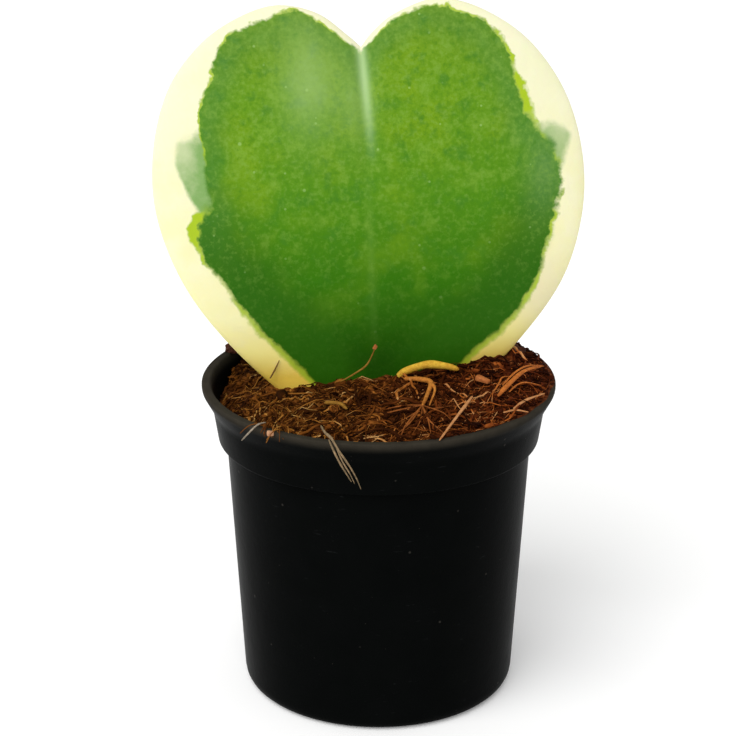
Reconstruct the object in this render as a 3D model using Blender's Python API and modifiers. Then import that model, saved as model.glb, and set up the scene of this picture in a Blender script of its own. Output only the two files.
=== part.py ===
"""A variegated sweetheart hoya: one rooted, heart-shaped leaf in a small moulded nursery pot.

Metres, +Z up. The origin is the centre of the pot's underside, where it rests on the ground,
and the leaf's upper face looks along -Y.
"""
import math

import bmesh
import bpy
import numpy as np

MM = 0.001
GAP = 0.3 * MM  # clearance kept between pieces that touch

# Pot: one thin moulding
POT_HEIGHT = 55.0 * MM
POT_WALL = 1.0 * MM
LIP_RADIUS = 30.0 * MM
LIP_FACE = 0.8 * MM  # height of the upright face of the lip
LIP_TOP_WIDTH = 1.7 * MM
BAND_TOP_RADIUS = 28.2 * MM
BAND_TOP_DROP = 4.2 * MM  # from the top of the pot to where the sloped lip meets the band
BAND_FOOT_RADIUS = 27.35 * MM
BAND_DROP = 10.0 * MM  # from the top of the pot to the foot of the band
BODY_TOP_RADIUS = 25.95 * MM
BODY_FOOT_RADIUS = 23.3 * MM
FOOT_CORNER = 2.5 * MM
PAD_RADIUS = 7.5 * MM  # flat centre of the underside
CHANNEL_INNER = 9.0 * MM  # raised ring of the floor that holds the drain holes
CHANNEL_OUTER = 18.5 * MM
CHANNEL_RISE = 1.8 * MM
DRAIN_COUNT = 6
DRAIN_RADIUS = 2.6 * MM
DRAIN_CIRCLE = 13.75 * MM
POT_STEPS = 64

# Soil: a plug that fills the pot and heaps up round the leaf
SOIL_RADIUS = 27.2 * MM
SOIL_EDGE_LEVEL = 54.3 * MM
SOIL_HEAP = 1.5 * MM
SOIL_LEAN = 2.2 * MM  # how much higher the soil lies at the right-hand wall than at the middle
MOUND_PLACE = (19.0 * MM, 4.0 * MM)
MOUND_HEIGHT = 1.2 * MM
MOUND_SPREAD = 7.0 * MM
SOIL_LUMP = 0.35 * MM
SOIL_LUMP_PITCH = 9.0 * MM
SOIL_RINGS = 8
SOIL_STEPS = 48

# Leaf: a blade with a short stalk. Its outline is measured in the blade, from the stalk.
LEAF_BASE = (0.2 * MM, -0.5 * MM, 40.0 * MM)  # where the stalk meets the blade
LEAF_LENGTH = 78.0 * MM
LEAF_LEAN_FOOT = math.radians(2.0)  # leaning back from upright, at the foot and at the top
LEAF_LEAN_TOP = math.radians(14.0)
LEAF_ROLL = math.radians(-2.2)
LEAF_TURN = math.radians(6.0)
LEAF_MIDDLE = (0.0, 42.0 * MM)
LEAF_HALF_WIDTH = 36.0 * MM
LEAF_HALF_THICKNESS = 2.1 * MM
LEAF_CURL = 1.2 * MM  # how far the side margins bend back
MIDRIB_DEPTH = 0.6 * MM
MIDRIB_WIDTH = 1.6 * MM
LEAF_RIGHT_EDGE_MM = (
    (-0.5, 71.0), (1.6, 73.4), (5.5, 76.2), (12.5, 78.2), (20.0, 76.0), (27.8, 70.2), (33.7, 61.0),
    (36.3, 50.0), (35.7, 39.5), (32.2, 29.0), (25.2, 18.6), (14.0, 8.6), (5.0, 2.6), (0.0, 0.0),
)
LEAF_LEFT_EDGE_MM = (
    (-4.6, 2.6), (-13.0, 10.2), (-24.2, 22.0), (-31.6, 33.0), (-35.6, 45.0), (-35.6, 56.0),
    (-32.6, 66.0), (-27.0, 73.0), (-20.5, 77.0), (-14.0, 78.6), (-7.5, 76.9), (-2.6, 73.0), (-0.5, 71.0),
)
LEAF_SEGMENTS = 64
LEAF_RINGS = 16
STALK_RADIUS = 2.1 * MM
STALK_POINTS_MM = ((0.2, -0.3, 47.0), (0.2, -0.5, 41.0), (-0.2, -0.4, 36.0), (-0.8, 0.2, 31.0), (-1.2, 0.8, 27.0))

# Roots of the cutting, from the foot of the stalk
ROOT_COUNT = 5
ROOT_RADIUS = 0.75 * MM
ROOT_REACH = 19.0 * MM
ROOT_TOP = 33.0 * MM
ROOT_DROP = 23.0 * MM
ROOT_TWIST = math.radians(55.0)
ROOT_WAVE = 1.6 * MM
ROOT_POINTS = 10

# The strip of bark at the right
STRIP_SEGMENTS = 8
STRIP_HALF_WIDTH = 0.9 * MM
STRIP_THICKNESS = 0.5 * MM


def clear_scene():
    """Remove whatever the file holds, so that the model starts from nothing."""
    for old in list(bpy.data.objects):
        bpy.data.objects.remove(old, do_unlink=True)
    for old in list(bpy.data.collections):
        bpy.data.collections.remove(old)


def new_collection(name):
    collection = bpy.data.collections.new(name)
    bpy.context.scene.collection.children.link(collection)
    return collection


def new_object(name, data, collection):
    made = bpy.data.objects.new(name, data)
    collection.objects.link(made)
    return made


def mesh_from_bmesh(name, work):
    mesh = bpy.data.meshes.new(name)
    work.to_mesh(mesh)
    work.free()
    return mesh


def principled(name, colour, roughness, metallic=0.0):
    """A plain Principled BSDF material."""
    material = bpy.data.materials.new(name)
    material.use_nodes = True
    shader = material.node_tree.nodes["Principled BSDF"]
    shader.inputs["Base Color"].default_value = (*colour, 1.0)
    shader.inputs["Roughness"].default_value = roughness
    shader.inputs["Metallic"].default_value = metallic
    material.diffuse_color = (*colour, 1.0)
    return material


def arc(centre, radius, start, end, steps):
    """Points (r, z) on a circle, from the start angle to the end angle, in degrees."""
    angles = [math.radians(start + (end - start) * i / steps) for i in range(steps + 1)]
    return [(centre[0] + radius * math.cos(a), centre[1] + radius * math.sin(a)) for a in angles]


def turned(name, profile, steps, collection):
    """A profile of (r, z) points turned once round Z. It starts and ends on the axis."""
    work = bmesh.new()
    rim = [work.verts.new((r, 0.0, z)) for r, z in profile]
    for a, b in zip(rim, rim[1:]):
        work.edges.new((a, b))
    made = new_object(name, mesh_from_bmesh(name, work), collection)
    screw = made.modifiers.new("turn", "SCREW")
    screw.axis = "Z"
    screw.angle = math.tau
    screw.steps = steps
    screw.render_steps = steps
    screw.use_merge_vertices = True
    screw.merge_threshold = 0.00005
    return made


def tube(name, points, radius, collection, taper=1.0):
    """A round tube through the points. The radius at its far end is its first radius times taper."""
    curve = bpy.data.curves.new(name, "CURVE")
    curve.dimensions = "3D"
    curve.bevel_depth = radius
    curve.bevel_resolution = 2
    curve.use_fill_caps = True
    spline = curve.splines.new("POLY")
    spline.points.add(len(points) - 1)
    for i, (point, place) in enumerate(zip(spline.points, points)):
        point.co = (*place, 1.0)
        point.radius = 1.0 + (taper - 1.0) * i / (len(points) - 1)
    return new_object(name, curve, collection)


def as_mesh(curved, collection):
    """Turn a curve or a modified object into a plain mesh object with its seams welded."""
    depsgraph = bpy.context.evaluated_depsgraph_get()
    mesh = bpy.data.meshes.new_from_object(curved.evaluated_get(depsgraph))
    name = curved.name
    place = curved.matrix_world.copy()
    bpy.data.objects.remove(curved)
    work = bmesh.new()
    work.from_mesh(mesh)
    bmesh.ops.remove_doubles(work, verts=work.verts, dist=0.00001)
    work.to_mesh(mesh)
    work.free()
    made = new_object(name, mesh, collection)
    made.matrix_world = place
    return made


def hide(cutter):
    cutter.hide_render = True
    cutter.display_type = "WIRE"
    return cutter


def boolean(target, other, operation):
    cut = target.modifiers.new(other.name, "BOOLEAN")
    cut.operation = operation
    cut.solver = "EXACT"
    cut.object = other


def smooth_path(points, count):
    """A Catmull-Rom curve through the points, read at evenly spaced steps."""
    knots = np.array(points, dtype=float)
    padded = np.vstack([2 * knots[0] - knots[1], knots, 2 * knots[-1] - knots[-2]])
    at = np.linspace(0.0, len(knots) - 1.0, count)
    span = np.minimum(at.astype(int), len(knots) - 2)
    t = (at - span)[:, None]
    before, start, end, after = (padded[span + i] for i in range(4))
    return 0.5 * (
        2 * start
        + (end - before) * t
        + (2 * before - 5 * start + 4 * end - after) * t**2
        + (3 * start - before - 3 * end + after) * t**3
    )


def soil_level(x, y):
    """Height of the soil's surface: a low heap, higher to the right, with one mound and small lumps."""
    heap = SOIL_HEAP * (1.0 - (x * x + y * y) / SOIL_RADIUS**2)
    lean = SOIL_LEAN * x / SOIL_RADIUS
    away = (x - MOUND_PLACE[0]) ** 2 + (y - MOUND_PLACE[1]) ** 2
    mound = MOUND_HEIGHT * math.exp(-away / (2.0 * MOUND_SPREAD**2))
    wave = math.tau / SOIL_LUMP_PITCH
    lumps = SOIL_LUMP * math.sin(wave * x + 1.3) * math.cos(wave * 0.8 * y)
    return SOIL_EDGE_LEVEL + heap + lean + mound + lumps


def pot_inner_profile(offset):
    """The pot's inside as (r, z) points from the axis outwards and up, moved in by an offset."""
    top = POT_HEIGHT
    wall = POT_WALL + offset
    floor = POT_WALL + offset
    corner = FOOT_CORNER - POT_WALL
    corner_centre = (BODY_FOOT_RADIUS - wall - corner, floor + corner)
    return [
        (0.0, floor),
        (PAD_RADIUS - offset, floor),
        (CHANNEL_INNER - offset, floor + CHANNEL_RISE),
        (CHANNEL_OUTER + offset, floor + CHANNEL_RISE),
        (CHANNEL_OUTER + offset + 1.2 * MM, floor),
        *arc(corner_centre, corner, -90.0, 0.0, 3),
        (BODY_TOP_RADIUS - wall, top - BAND_DROP - POT_WALL - offset),
        (BAND_FOOT_RADIUS - wall, top - BAND_DROP + 0.4 * MM),
    ]


def make_pot(collection, cutters):
    """One moulding: lip, band, tapered body and a floor with a raised ring of drain holes."""
    top = POT_HEIGHT
    inside_top = (LIP_RADIUS - LIP_TOP_WIDTH, top - 0.3 * MM)
    shoulder = (BAND_TOP_RADIUS - POT_WALL, top - BAND_TOP_DROP)
    foot_centre = (BODY_FOOT_RADIUS - FOOT_CORNER, FOOT_CORNER)
    profile = [
        *pot_inner_profile(0.0),
        shoulder,
        inside_top,
        (inside_top[0] + 0.3 * MM, top),
        (LIP_RADIUS - 0.3 * MM, top),
        (LIP_RADIUS, top - 0.3 * MM),
        (LIP_RADIUS, top - LIP_FACE),
        (BAND_TOP_RADIUS, top - BAND_TOP_DROP),
        (BAND_FOOT_RADIUS, top - BAND_DROP + 0.3 * MM),
        (BAND_FOOT_RADIUS - 0.3 * MM, top - BAND_DROP),
        (BODY_TOP_RADIUS, top - BAND_DROP),
        *arc(foot_centre, FOOT_CORNER, 0.0, -90.0, 5),
        (CHANNEL_OUTER + 0.9 * MM, 0.0),
        (CHANNEL_OUTER, CHANNEL_RISE),
        (CHANNEL_INNER, CHANNEL_RISE),
        (PAD_RADIUS + 0.3 * MM, 0.0),
        (0.0, 0.0),
    ]
    pot = turned("pot", profile, POT_STEPS, collection)
    pot.data.materials.append(principled("black_plastic", (0.012, 0.013, 0.013), 0.38))
    for i in range(DRAIN_COUNT):
        angle = math.tau * (i + 0.5) / DRAIN_COUNT
        work = bmesh.new()
        bmesh.ops.create_cone(
            work, cap_ends=True, segments=20, radius1=DRAIN_RADIUS, radius2=DRAIN_RADIUS, depth=8.0 * MM
        )
        drill = new_object(f"drain_{i + 1}", mesh_from_bmesh("drain", work), cutters)
        drill.location = (DRAIN_CIRCLE * math.cos(angle), DRAIN_CIRCLE * math.sin(angle), CHANNEL_RISE)
        boolean(pot, hide(drill), "DIFFERENCE")
    return pot


def outline_radius(angles):
    """Distance from the middle of the blade to its edge, in each direction."""
    edge = smooth_path(np.array(LEAF_RIGHT_EDGE_MM + LEAF_LEFT_EDGE_MM) * MM, 400) - np.array(LEAF_MIDDLE)
    along = np.unwrap(np.arctan2(edge[:, 1], edge[:, 0]))
    length = np.hypot(edge[:, 0], edge[:, 1])
    order = np.argsort(along)
    start = along[order][0]
    wrapped = start + np.mod(angles - start, math.tau)
    return np.interp(wrapped, along[order], length[order])


def blade_to_world(across, along, proud):
    """Bend the flat blade back along an arc, curl its margins and set it at its roll and turn."""
    curvature = (LEAF_LEAN_TOP - LEAF_LEAN_FOOT) / LEAF_LENGTH
    lean = LEAF_LEAN_FOOT + curvature * along
    proud = proud - LEAF_CURL * (across / LEAF_HALF_WIDTH) ** 2
    back = (math.cos(LEAF_LEAN_FOOT) - np.cos(lean)) / curvature - proud * np.cos(lean)
    up = (np.sin(lean) - math.sin(LEAF_LEAN_FOOT)) / curvature + proud * np.sin(lean)
    side = across * math.cos(LEAF_ROLL) + up * math.sin(LEAF_ROLL)
    up = up * math.cos(LEAF_ROLL) - across * math.sin(LEAF_ROLL)
    x = LEAF_BASE[0] + side * math.cos(LEAF_TURN)
    y = LEAF_BASE[1] + back + side * math.sin(LEAF_TURN)
    return np.column_stack([x, y, LEAF_BASE[2] + up])


def blade_mesh(name, growth):
    """A sphere drawn out to the heart outline, swollen in the middle, with a round margin."""
    work = bmesh.new()
    bmesh.ops.create_uvsphere(work, u_segments=LEAF_SEGMENTS, v_segments=LEAF_RINGS, radius=1.0)
    mesh = mesh_from_bmesh(name, work)
    ball = np.empty(len(mesh.vertices) * 3)
    mesh.vertices.foreach_get("co", ball)
    ball = ball.reshape(-1, 3)
    share = np.hypot(ball[:, 0], ball[:, 1])
    angle = np.arctan2(ball[:, 1], ball[:, 0])
    reach = share * (outline_radius(angle) + growth)
    across = LEAF_MIDDLE[0] + reach * np.cos(angle)
    along = LEAF_MIDDLE[1] + reach * np.sin(angle)
    swell = 0.62 + 0.38 * (1.0 - share**2)
    edge = np.sqrt(np.clip(1.0 - share**14, 0.0, 1.0))
    proud = np.sign(ball[:, 2]) * (LEAF_HALF_THICKNESS * swell + growth) * edge
    upper = np.clip((along - 0.5 * LEAF_LENGTH) / (0.4 * LEAF_LENGTH), 0.0, 1.0)
    groove = MIDRIB_DEPTH * upper * np.exp(-((across / MIDRIB_WIDTH) ** 2))
    proud = np.where(ball[:, 2] > 0.0, proud - groove * edge, proud)
    mesh.vertices.foreach_set("co", blade_to_world(across, along, proud).ravel())
    mesh.update()
    return mesh


def face_outwards(made):
    work = bmesh.new()
    work.from_mesh(made.data)
    bmesh.ops.recalc_face_normals(work, faces=work.faces)
    work.to_mesh(made.data)
    work.free()


def stalk_path(extra=0.0):
    """Points down the stalk. Extra is how far the last point is carried on."""
    points = smooth_path(np.array(STALK_POINTS_MM) * MM, 9)
    end = points[-1] - points[-2]
    points[-1] += end / np.linalg.norm(end) * extra
    return [tuple(p) for p in points]


def make_leaf(collection, cutters):
    """Blade and stalk grown as one."""
    leaf = new_object("leaf", blade_mesh("leaf", 0.0), collection)
    face_outwards(leaf)
    stalk = as_mesh(tube("stalk", stalk_path(), STALK_RADIUS, cutters, taper=0.85), cutters)
    boolean(leaf, hide(stalk), "UNION")
    leaf.data.materials.append(principled("leaf_green", (0.11, 0.28, 0.045), 0.34))
    room = hide(new_object("leaf_room", blade_mesh("leaf_room", 1.2 * GAP), cutters))
    face_outwards(room)
    stalk_room = tube("stalk_room", stalk_path(1.2 * GAP), STALK_RADIUS + 1.2 * GAP, cutters, taper=0.9)
    return leaf, [room, hide(as_mesh(stalk_room, cutters))]


def root_path(index, from_axis):
    """A root runs out and down from the stalk in a slow spiral with a wave in it."""
    foot = np.array(STALK_POINTS_MM[-2]) * MM
    u = np.linspace(0.0, 1.0, ROOT_POINTS)
    start = 0.0 if from_axis else STALK_RADIUS + ROOT_RADIUS + GAP
    reach = start + (ROOT_REACH - 1.5 * MM * (index % 2) - start) * u**0.85
    angle = math.tau * index / ROOT_COUNT + ROOT_TWIST * u * (1.0 - 0.15 * index)
    top = ROOT_TOP - 1.1 * MM * index
    x = foot[0] + reach * np.cos(angle)
    y = foot[1] + reach * np.sin(angle)
    z = top - ROOT_DROP * u**1.25 + ROOT_WAVE * u * np.sin(math.tau * 1.5 * u + index)
    return [tuple(p) for p in np.column_stack([x, y, z])]


def make_roots(collection, cutters):
    """Separate roots in the soil, thinner towards their tips."""
    finish = principled("root_tan", (0.42, 0.27, 0.12), 0.7)
    rooms = []
    for i in range(ROOT_COUNT):
        root = tube(f"root_{i + 1}", root_path(i, False), ROOT_RADIUS, collection, taper=0.55)
        root.data.materials.append(finish)
        path = root_path(i, False)
        axis_start = root_path(i, True)[0]
        tip = np.array(path[-1])
        ahead = tip + (tip - np.array(path[-2])) * 0.3
        room = tube(f"root_room_{i + 1}", [axis_start, *path, tuple(ahead)], ROOT_RADIUS + GAP, cutters, taper=0.8)
        rooms.append(hide(as_mesh(room, cutters)))
    return rooms


def make_soil(collection, rooms):
    """The plug: the pot's inside less a gap, its top lifted to the soil's level, hollowed for the plant."""
    side = pot_inner_profile(GAP)
    shoulder = (BAND_TOP_RADIUS - POT_WALL - GAP, POT_HEIGHT - BAND_TOP_DROP)
    rounded_edge = (SOIL_RADIUS, SOIL_EDGE_LEVEL - 0.8 * MM)
    top = [(SOIL_RADIUS * i / (SOIL_RINGS + 0.3), SOIL_EDGE_LEVEL) for i in range(SOIL_RINGS + 1)]
    profile = [*top, rounded_edge, shoulder, *reversed(side)]
    soil = as_mesh(turned("soil", profile, SOIL_STEPS, collection), collection)
    for vertex in soil.data.vertices:
        depth = SOIL_EDGE_LEVEL - vertex.co.z
        if depth < 1.0 * MM:
            vertex.co.z = soil_level(vertex.co.x, vertex.co.y) - depth
    soil.data.materials.append(principled("coir", (0.10, 0.04, 0.018), 0.95))
    for room in rooms:
        boolean(soil, room, "DIFFERENCE")
    return soil


def on_soil(x, y, lift):
    """A point in millimetres over the soil's surface, with its height from there."""
    return (x * MM, y * MM, soil_level(x * MM, y * MM) + lift * MM)


def lying(name, places, radius, collection, colour, taper=0.7, points=8):
    """A fibre given by (x, y, height over the soil) in millimetres."""
    path = smooth_path([on_soil(*place) for place in places], points)
    fibre = tube(name, [tuple(p) for p in path], radius * MM, collection, taper)
    fibre.data.materials.append(principled(name, colour, 0.75))
    return fibre


def hanging(name, places, radius, collection, colour, taper=0.6, points=9):
    """A fibre given by world points in millimetres."""
    path = smooth_path(np.array(places) * MM, points)
    fibre = tube(name, [tuple(p) for p in path], radius * MM, collection, taper)
    fibre.data.materials.append(principled(name, colour, 0.75))
    return fibre


def forked_root(collection, cutters):
    """An orange root that drops from its bend and forks into three rootlets, grown as one."""
    stem = lying(
        "forked_root",
        ((4.2, -6.6, 1.0), (6.6, -7.4, 1.3), (8.6, -9.6, 1.4), (7.9, -13.7, 1.2), (6.5, -19.0, 1.0)),
        0.55, collection, (0.55, 0.27, 0.09), taper=0.8,
    )
    stem = as_mesh(stem, collection)
    forks = (
        ((6.7, -18.2, 1.0), (4.6, -22.0, 0.9), (2.6, -25.2, 0.9)),
        ((6.6, -18.2, 1.0), (7.6, -22.4, 0.9), (8.8, -25.0, 0.9)),
        ((7.2, -16.4, 1.1), (3.9, -18.0, 0.9), (0.6, -18.0, 0.9)),
    )
    for i, fork in enumerate(forks):
        rootlet = lying(f"rootlet_{i + 1}", fork, 0.34, cutters, (0.5, 0.25, 0.1), taper=0.6, points=6)
        boolean(stem, hide(as_mesh(rootlet, cutters)), "UNION")
    return stem


def bark_strip(collection):
    """A flat strip of bark that arches over the soil at the right: a bent, tapered band with a thickness."""
    places = ((19.5, -14.3, 1.0), (20.9, -12.2, 1.7), (24.0, -7.4, 2.4), (27.4, -3.0, 1.6))
    path = smooth_path([on_soil(*place) for place in places], STRIP_SEGMENTS + 1)
    run = np.gradient(path, axis=0)
    across = np.column_stack([run[:, 1], -run[:, 0], np.zeros(len(run))])
    across /= np.linalg.norm(across, axis=1)[:, None]
    work = bmesh.new()
    bmesh.ops.create_grid(work, x_segments=STRIP_SEGMENTS, y_segments=2, size=1.0)
    for vertex in work.verts:
        step = round((vertex.co.x + 1.0) / 2.0 * STRIP_SEGMENTS)
        narrowing = 0.4 + 0.6 * math.sin(math.pi * (0.1 + 0.8 * step / STRIP_SEGMENTS))
        crown = 0.3 * MM * (1.0 - vertex.co.y**2)
        place = path[step] + across[step] * vertex.co.y * STRIP_HALF_WIDTH * narrowing
        vertex.co = (place[0], place[1], place[2] + crown)
    strip = new_object("bark_strip", mesh_from_bmesh("bark_strip", work), collection)
    thick = strip.modifiers.new("thick", "SOLIDIFY")
    thick.thickness = STRIP_THICKNESS
    thick.offset = 0.0
    strip.data.materials.append(principled("bark_orange", (0.45, 0.19, 0.07), 0.7))
    return strip


def chip(name, place, size, turn, colour, collection):
    """A splinter of bark: a box with its corners worn round."""
    work = bmesh.new()
    bmesh.ops.create_cube(work, size=1.0)
    for vertex in work.verts:
        narrowing = 0.72 if vertex.co.x > 0.0 else 1.0
        vertex.co.x *= size[0] * MM
        vertex.co.y *= size[1] * MM * narrowing
        vertex.co.z *= size[2] * MM * narrowing
    made = new_object(name, mesh_from_bmesh(name, work), collection)
    made.location = [c * MM for c in place]
    made.rotation_euler = [math.radians(a) for a in turn]
    worn = made.modifiers.new("worn", "BEVEL")
    worn.width = 0.22 * min(size) * MM
    worn.segments = 2
    made.data.materials.append(principled(name, colour, 0.85))
    return made


def make_litter(collection, cutters):
    """Everything loose that lies on the soil and over the rim."""
    ochre = (0.62, 0.47, 0.12)
    pale = (0.62, 0.48, 0.32)
    dark = (0.05, 0.022, 0.016)
    hanging(
        "arching_root",
        ((3.2, -4.6, 56.9), (4.4, -4.6, 57.9), (8.0, -4.6, 59.1), (11.4, -4.6, 58.8), (13.4, -4.8, 58.3)),
        0.62, collection, ochre, taper=0.8, points=11,
    )
    forked_root(collection, cutters)
    hanging("straw_splinter", ((15.7, -14.8, 58.0), (10.0, -28.9, 55.9)), 0.42, collection, pale, points=5)
    hanging(
        "rim_strand_long",
        ((-10.1, -21.0, 55.6), (-9.2, -26.0, 55.9), (-8.4, -29.2, 56.1), (-7.2, -30.9, 54.8), (-5.5, -31.2, 52.8),
         (-4.4, -31.3, 50.4), (-3.7, -31.2, 48.2)),
        0.36, collection, (0.5, 0.46, 0.3),
    )
    hanging(
        "rim_strand_short",
        ((-7.4, -23.6, 55.6), (-7.2, -27.4, 56.0), (-6.8, -30.2, 55.9), (-5.6, -31.8, 54.2), (-4.5, -32.1, 51.4)),
        0.3, collection, (0.4, 0.36, 0.22),
    )
    hanging(
        "left_rim_fibre",
        ((-18.4, -20.6, 55.8), (-19.8, -22.6, 56.2), (-21.4, -23.4, 54.6), (-22.4, -22.2, 53.0)),
        0.36, collection, pale,
    )
    hanging("curved_fibre", ((21.9, -18.9, 56.8), (24.0, -16.6, 57.4), (27.4, -13.4, 57.4)), 0.4, collection, pale)
    hanging("flat_fibre", ((20.2, -20.2, 56.6), (24.4, -19.0, 56.2)), 0.34, collection, pale, points=4)
    hanging(
        "knobbed_fibre",
        ((-6.4, -5.6, 56.4), (-4.2, -5.2, 57.8), (-2.0, -4.9, 59.4), (-0.6, -4.6, 62.0)),
        0.42, collection, pale, taper=1.3,
    )
    hanging("leaf_hair", ((-18.9, -6.4, 55.9), (-17.9, -5.8, 58.0), (-16.8, -5.2, 60.4)), 0.22, collection, ochre)
    lying("yellow_strand", ((-9.0, -13.2, 0.9), (-6.5, -14.0, 1.0), (-5.2, -16.8, 0.9)), 0.34, collection, ochre)
    bark_strip(collection)
    chip("bark_chip_right", (24.8, 8.4, 58.7), (5.6, 3.6, 2.2), (4, -4, -30), dark, collection)
    chip("bark_chip_left", (-23.4, 10.8, 56.9), (4.6, 3.0, 2.4), (6, 10, 24), dark, collection)
    chip("pale_chip", (17.4, -8.4, 58.7), (2.4, 1.5, 1.0), (0, 0, -50), (0.6, 0.42, 0.26), collection)
    chip("pale_crumb", (-17.5, -25.6, 54.5), (1.7, 1.2, 1.0), (0, 0, 20), (0.7, 0.55, 0.42), collection)


def shade(collection):
    """Smooth shading with crisp edges on every mesh."""
    for piece in collection.objects:
        if piece.type == "MESH":
            piece.data.shade_smooth()
            piece.data.set_sharp_from_angle(angle=math.radians(40.0))


def main():
    clear_scene()
    plant = new_collection("potted_hoya")
    cutters = new_collection("cutters")
    make_pot(plant, cutters)
    leaf_rooms = make_leaf(plant, cutters)[1]
    root_rooms = make_roots(plant, cutters)
    make_soil(plant, leaf_rooms + root_rooms)
    make_litter(plant, cutters)
    shade(plant)


main()
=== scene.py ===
"""A potted hoya: one rooted, heart-shaped leaf with a cream margin, in coir in a small black pot.

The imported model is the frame: metres, +Z up, the origin under the middle of the pot, and the
leaf's upper face looking along -Y. Each section makes one piece, in the order of assembly.
"""
import math

import bpy
import numpy as np
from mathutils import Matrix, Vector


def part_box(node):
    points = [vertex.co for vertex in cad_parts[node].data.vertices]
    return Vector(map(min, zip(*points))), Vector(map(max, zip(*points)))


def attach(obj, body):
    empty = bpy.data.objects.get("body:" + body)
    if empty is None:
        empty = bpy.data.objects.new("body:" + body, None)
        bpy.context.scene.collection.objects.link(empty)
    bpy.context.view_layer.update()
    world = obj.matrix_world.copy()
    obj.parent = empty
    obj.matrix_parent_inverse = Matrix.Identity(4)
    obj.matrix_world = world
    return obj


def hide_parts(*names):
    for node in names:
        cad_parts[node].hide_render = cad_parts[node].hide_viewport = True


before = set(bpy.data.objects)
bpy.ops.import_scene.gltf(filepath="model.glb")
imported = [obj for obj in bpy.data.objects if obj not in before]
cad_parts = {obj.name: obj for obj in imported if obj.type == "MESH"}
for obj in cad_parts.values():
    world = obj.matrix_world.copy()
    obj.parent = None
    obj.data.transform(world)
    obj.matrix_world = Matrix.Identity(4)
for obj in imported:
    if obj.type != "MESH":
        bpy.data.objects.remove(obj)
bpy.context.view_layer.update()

# The pot
# A thin-walled nursery pot, injection moulded in one piece from black polypropylene: a flared
# lip, a band, a tapered body and a floor with a raised ring that holds six drain holes.
MM = 0.001
pot_low, pot_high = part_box("pot")
LIP = (pot_high.x - pot_low.x) / 2.0 / MM
TOP = pot_high.z / MM
POT_COLUMNS = 240
DRAIN_HOLES = 6
DRAIN_RADIUS = 2.6 * MM
DRAIN_CIRCLE = 13.75 * MM
DRILL_LEVELS = np.array([-1.0, 5.0]) * MM
# How far the lip is out of round, as a share of its radius, and the heights of the lip's grey-brown band,
# which is soil dust and a painted highlight.
LIP_SWAY = 0.0016
DUST_AND_HIGHLIGHT_FROM, DUST_AND_HIGHLIGHT_TO = 53.0 * MM, 55.1 * MM
# Corners of the section in millimetres, (radius, height, how much of each side is rounded off),
# from the middle of the underside, up the outside and down the inside.
POT_OUTSIDE = (
    (0.05, 0.0, 0.0), (7.8, 0.0, 0.4), (9.0, 1.8, 0.4), (18.5, 1.8, 0.4), (19.4, 0.0, 0.3),
    (23.3, 0.0, 2.4), (25.95, TOP - 10.0, 0.3), (27.3, TOP - 10.0, 0.35), (28.2, TOP - 4.2, 0.8),
    (LIP, TOP - 0.9, 0.3), (LIP, TOP, 0.35),
)
POT_INSIDE = (
    (LIP - 1.5, TOP, 0.45), (27.2, TOP - 4.2, 0.8), (26.35, TOP - 9.6, 0.5), (24.95, TOP - 11.0, 0.5),
    (22.3, 1.0, 1.6), (19.7, 1.0, 0.3), (18.5, 2.8, 0.4), (9.0, 2.8, 0.4), (7.5, 1.0, 0.3), (0.05, 1.0, 0.0),
)


def rounded(corners, steps=6):
    """Replace each corner by a quadratic curve between the points where its rounding starts and ends."""
    corners = np.array(corners)
    point, cut = corners[1:-1, :2], corners[1:-1, 2:]
    before, after = corners[:-2, :2] - point, corners[2:, :2] - point
    start = point + before / np.linalg.norm(before, axis=1)[:, None] * cut
    end = point + after / np.linalg.norm(after, axis=1)[:, None] * cut
    t = np.linspace(0.0, 1.0, steps)[None, :, None]
    curve = (1 - t) ** 2 * start[:, None] + 2 * t * (1 - t) * point[:, None] + t**2 * end[:, None]
    return np.vstack([corners[:1, :2], curve.reshape(-1, 2), corners[-1:, :2]])


def ring_mesh(name, rings, starts, ends, values=()):
    """A mesh of closed solids, each a stack of rings (solid, row, column, xyz).

    Quads join neighbouring rings and close round each ring, and a fan of triangles to one point
    closes each end. Values are kept as attributes, one for each row or for each ring point.
    """
    solids, rows, columns, _ = rings.shape
    points = np.concatenate([rings.reshape(solids, -1, 3), starts[:, None], ends[:, None]], axis=1)
    row, column = np.meshgrid(np.arange(rows - 1) * columns, np.arange(columns), indexing="ij")
    ahead = (column + 1) % columns
    quads = np.stack([row + column, row + ahead, row + columns + ahead, row + columns + column], axis=-1)
    turn = np.arange(columns)
    after = (turn + 1) % columns
    top = (rows - 1) * columns
    start_fan = np.stack([np.full(columns, rows * columns), after, turn], axis=-1)
    end_fan = np.stack([top + turn, top + after, np.full(columns, rows * columns + 1)], axis=-1)
    shift = (np.arange(solids) * (rows * columns + 2))[:, None, None]
    faces = (quads.reshape(1, -1, 4) + shift).reshape(-1, 4).tolist()
    faces += (np.vstack([start_fan, end_fan])[None] + shift).reshape(-1, 3).tolist()
    mesh = bpy.data.meshes.new(name)
    mesh.from_pydata(points.reshape(-1, 3).tolist(), [], faces)
    for key, value in dict(values).items():
        full = value[:, :, None] if value.ndim == 2 else value
        full = np.broadcast_to(full, (solids, rows, columns))
        poles = np.stack([full[:, 0].mean(axis=1), full[:, -1].mean(axis=1)], axis=1)
        every = np.concatenate([full.reshape(solids, -1), poles], axis=1)
        layer = mesh.attributes.new(key, "FLOAT", "POINT")
        layer.data.foreach_set("value", every.ravel().astype(np.float32))
    return mesh


def add_piece(name, mesh, material, slot, *nodes):
    """Show a mesh as a smooth piece of the plant, standing for the CAD nodes named."""
    made = bpy.data.objects.new(name, mesh)
    bpy.context.scene.collection.objects.link(made)
    mesh.materials.append(material)
    mesh.shade_smooth()
    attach(made, "root")
    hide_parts(*nodes)
    return made


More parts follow.
